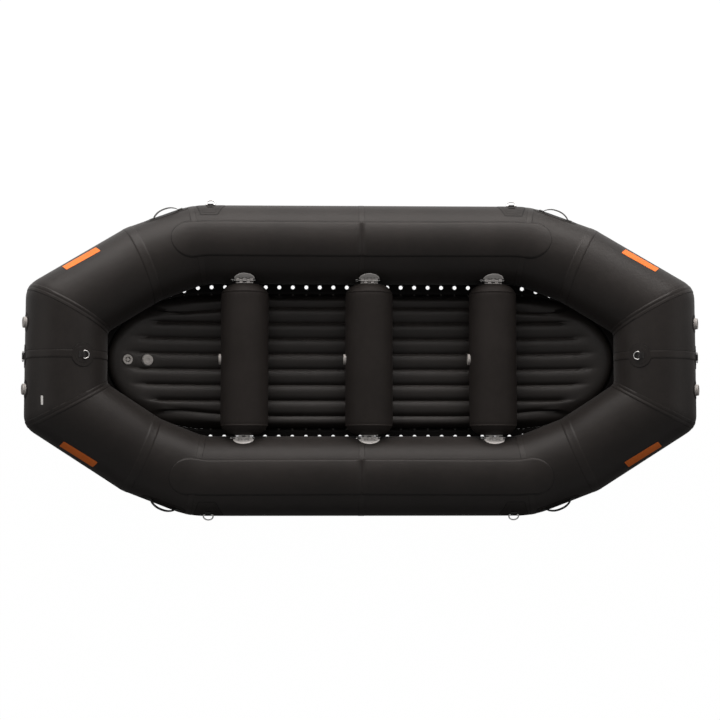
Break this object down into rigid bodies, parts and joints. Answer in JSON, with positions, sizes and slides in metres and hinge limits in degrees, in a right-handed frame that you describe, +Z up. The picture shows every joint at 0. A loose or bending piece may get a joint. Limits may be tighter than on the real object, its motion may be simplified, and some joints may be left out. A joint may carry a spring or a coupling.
{
  "type": "whitewater raft",
  "caption": "Self-bailing inflatable whitewater raft with kicked-up ends, I-beam floor, hinged thwarts, D-rings, carry handles and air valves.",
  "frame": {"origin": "middle of the footprint, on the ground under the side tubes", "axes": "+X towards the stern, +Y to starboard, +Z up; the bow with the floor valves is at -X"},
  "size_m": [4.2512, 2.049, 0.7205],
  "materials": {
    "tube_fabric": "matte",
    "baffle_fabric": "matte",
    "skirt_fabric": "matte",
    "floor_fabric": "matte",
    "thwart_fabric": "matte",
    "valve_plastic": "satin",
    "cap_plastic": "satin",
    "hinge_plastic": "satin",
    "rod_steel": "satin",
    "ring_steel": "polished",
    "webbing": "matte"
  },
  "bodies": {
    "raft": {"bow_centre_tape": "webbing", "bow_port_carry_handle": "webbing", "bow_port_d_ring_patch": "webbing", "bow_starboard_carry_handle": "webbing", "bow_starboard_d_ring_patch": "webbing", "bow_thwart": "thwart_fabric", "bow_thwart_hinge_leaf_port": "hinge_plastic", "bow_thwart_hinge_leaf_starboard": "hinge_plastic", "bow_thwart_valve_body": "valve_plastic", "bulkhead_bow": "baffle_fabric", "bulkhead_port": "baffle_fabric", "bulkhead_starboard": "baffle_fabric", "bulkhead_stern": "baffle_fabric", "chamber_bow_port": "tube_fabric", "chamber_bow_port_valve_body": "valve_plastic", "chamber_bow_starboard": "tube_fabric", "chamber_bow_starboard_valve_body": "valve_plastic", "chamber_stern_port": "tube_fabric", "chamber_stern_port_valve_body": "valve_plastic", "chamber_stern_starboard": "tube_fabric", "chamber_stern_starboard_valve_body": "valve_plastic", "drain_skirt": "skirt_fabric", "floor": "floor_fabric", "floor_relief_valve": "valve_plastic", "floor_valve_body": "valve_plastic", "middle_thwart": "thwart_fabric", "middle_thwart_hinge_leaf_port": "hinge_plastic", "middle_thwart_hinge_leaf_starboard": "hinge_plastic", "middle_thwart_valve_body": "valve_plastic", "stern_centre_tape": "webbing", "stern_port_carry_handle": "webbing", "stern_port_d_ring_patch": "webbing", "stern_starboard_carry_handle": "webbing", "stern_starboard_d_ring_patch": "webbing", "stern_thwart": "thwart_fabric", "stern_thwart_hinge_leaf_port": "hinge_plastic", "stern_thwart_hinge_leaf_starboard": "hinge_plastic", "stern_thwart_valve_body": "valve_plastic"},
    "bow_starboard_d_ring_body": {"bow_starboard_d_ring": "ring_steel"},
    "bow_port_d_ring_body": {"bow_port_d_ring": "ring_steel"},
    "bow_outer_d_ring_body": {"bow_outer_d_ring": "ring_steel"},
    "bow_top_d_ring_body": {"bow_top_d_ring": "ring_steel"},
    "stern_starboard_d_ring_body": {"stern_starboard_d_ring": "ring_steel"},
    "stern_port_d_ring_body": {"stern_port_d_ring": "ring_steel"},
    "stern_outer_d_ring_body": {"stern_outer_d_ring": "ring_steel"},
    "stern_top_d_ring_body": {"stern_top_d_ring": "ring_steel"},
    "chamber_bow_starboard_valve_cap_body": {"chamber_bow_starboard_valve_cap": "cap_plastic"},
    "chamber_bow_port_valve_cap_body": {"chamber_bow_port_valve_cap": "cap_plastic"},
    "chamber_stern_starboard_valve_cap_body": {"chamber_stern_starboard_valve_cap": "cap_plastic"},
    "chamber_stern_port_valve_cap_body": {"chamber_stern_port_valve_cap": "cap_plastic"},
    "floor_valve_cap_body": {"floor_valve_cap": "cap_plastic"},
    "bow_thwart_valve_cap_body": {"bow_thwart_valve_cap": "cap_plastic"},
    "middle_thwart_valve_cap_body": {"middle_thwart_valve_cap": "cap_plastic"},
    "stern_thwart_valve_cap_body": {"stern_thwart_valve_cap": "cap_plastic"},
    "bow_thwart_hinge_rod_starboard_body": {"bow_thwart_hinge_rod_starboard": "rod_steel"},
    "bow_thwart_hinge_rod_port_body": {"bow_thwart_hinge_rod_port": "rod_steel"},
    "middle_thwart_hinge_rod_starboard_body": {"middle_thwart_hinge_rod_starboard": "rod_steel"},
    "middle_thwart_hinge_rod_port_body": {"middle_thwart_hinge_rod_port": "rod_steel"},
    "stern_thwart_hinge_rod_starboard_body": {"stern_thwart_hinge_rod_starboard": "rod_steel"},
    "stern_thwart_hinge_rod_port_body": {"stern_thwart_hinge_rod_port": "rod_steel"}
  },
  "joints": [
    {"name": "bow_starboard_d_ring_swing", "type": "hinge", "parent": "raft", "child": "bow_starboard_d_ring_body", "pos_m": [-0.967, 0.98824, 0.35353], "axis": [1, 0, 0], "range_deg": [-28, 152]},
    {"name": "bow_port_d_ring_swing", "type": "hinge", "parent": "raft", "child": "bow_port_d_ring_body", "pos_m": [-0.967, -0.98824, 0.35353], "axis": [1, 0, 0], "range_deg": [-152, 28]},
    {"name": "bow_outer_d_ring_swing", "type": "hinge", "parent": "raft", "child": "bow_outer_d_ring_body", "pos_m": [-2.10922, 0, 0.51714], "axis": [0, 1, 0], "range_deg": [-6, 174]},
    {"name": "bow_top_d_ring_swing", "type": "hinge", "parent": "raft", "child": "bow_top_d_ring_body", "pos_m": [-1.70473, 0, 0.68468], "axis": [0, 1, 0], "range_deg": [-174, 6]},
    {"name": "stern_starboard_d_ring_swing", "type": "hinge", "parent": "raft", "child": "stern_starboard_d_ring_body", "pos_m": [0.967, 0.98824, 0.35353], "axis": [1, 0, 0], "range_deg": [-28, 152]},
    {"name": "stern_port_d_ring_swing", "type": "hinge", "parent": "raft", "child": "stern_port_d_ring_body", "pos_m": [0.967, -0.98824, 0.35353], "axis": [1, 0, 0], "range_deg": [-152, 28]},
    {"name": "stern_outer_d_ring_swing", "type": "hinge", "parent": "raft", "child": "stern_outer_d_ring_body", "pos_m": [2.10922, 0, 0.51714], "axis": [0, 1, 0], "range_deg": [-174, 6]},
    {"name": "stern_top_d_ring_swing", "type": "hinge", "parent": "raft", "child": "stern_top_d_ring_body", "pos_m": [1.70473, 0, 0.68468], "axis": [0, 1, 0], "range_deg": [-6, 174]},
    {"name": "chamber_bow_starboard_valve_cap_turn", "type": "hinge", "parent": "raft", "child": "chamber_bow_starboard_valve_cap_body", "pos_m": [-2.08454, 0.208, 0.56251], "axis": [-0.9239, 0, 0.3827], "range_deg": [0, 90]},
    {"name": "chamber_bow_port_valve_cap_turn", "type": "hinge", "parent": "raft", "child": "chamber_bow_port_valve_cap_body", "pos_m": [-2.08454, -0.208, 0.56251], "axis": [-0.9239, 0, 0.3827], "range_deg": [0, 90]},
    {"name": "chamber_stern_starboard_valve_cap_turn", "type": "hinge", "parent": "raft", "child": "chamber_stern_starboard_valve_cap_body", "pos_m": [2.08454, 0.208, 0.56251], "axis": [0.9239, 0, 0.3827], "range_deg": [0, 90]},
    {"name": "chamber_stern_port_valve_cap_turn", "type": "hinge", "parent": "raft", "child": "chamber_stern_port_valve_cap_body", "pos_m": [2.08454, -0.208, 0.56251], "axis": [0.9239, 0, 0.3827], "range_deg": [0, 90]},
    {"name": "floor_valve_cap_turn", "type": "hinge", "parent": "raft", "child": "floor_valve_cap_body", "pos_m": [-1.37833, 0, 0.20669], "axis": [0.3937, 0, 0.9192], "range_deg": [0, 90]},
    {"name": "bow_thwart_valve_cap_turn", "type": "hinge", "parent": "raft", "child": "bow_thwart_valve_cap_body", "pos_m": [-0.88235, 0, 0.30278], "axis": [-1, 0, 0], "range_deg": [0, 90]},
    {"name": "middle_thwart_valve_cap_turn", "type": "hinge", "parent": "raft", "child": "middle_thwart_valve_cap_body", "pos_m": [-0.08635, 0, 0.30278], "axis": [-1, 0, 0], "range_deg": [0, 90]},
    {"name": "stern_thwart_valve_cap_turn", "type": "hinge", "parent": "raft", "child": "stern_thwart_valve_cap_body", "pos_m": [0.70965, 0, 0.30278], "axis": [-1, 0, 0], "range_deg": [0, 90]},
    {"name": "bow_thwart_hinge_rod_starboard_pull", "type": "slide", "parent": "raft", "child": "bow_thwart_hinge_rod_starboard_body", "axis": [-1, 0, 0], "range_m": [0, 0.14]},
    {"name": "bow_thwart_hinge_rod_port_pull", "type": "slide", "parent": "raft", "child": "bow_thwart_hinge_rod_port_body", "axis": [-1, 0, 0], "range_m": [0, 0.14]},
    {"name": "middle_thwart_hinge_rod_starboard_pull", "type": "slide", "parent": "raft", "child": "middle_thwart_hinge_rod_starboard_body", "axis": [-1, 0, 0], "range_m": [0, 0.14]},
    {"name": "middle_thwart_hinge_rod_port_pull", "type": "slide", "parent": "raft", "child": "middle_thwart_hinge_rod_port_body", "axis": [-1, 0, 0], "range_m": [0, 0.14]},
    {"name": "stern_thwart_hinge_rod_starboard_pull", "type": "slide", "parent": "raft", "child": "stern_thwart_hinge_rod_starboard_body", "axis": [-1, 0, 0], "range_m": [0, 0.14]},
    {"name": "stern_thwart_hinge_rod_port_pull", "type": "slide", "parent": "raft", "child": "stern_thwart_hinge_rod_port_body", "axis": [-1, 0, 0], "range_m": [0, 0.14]}
  ]
}
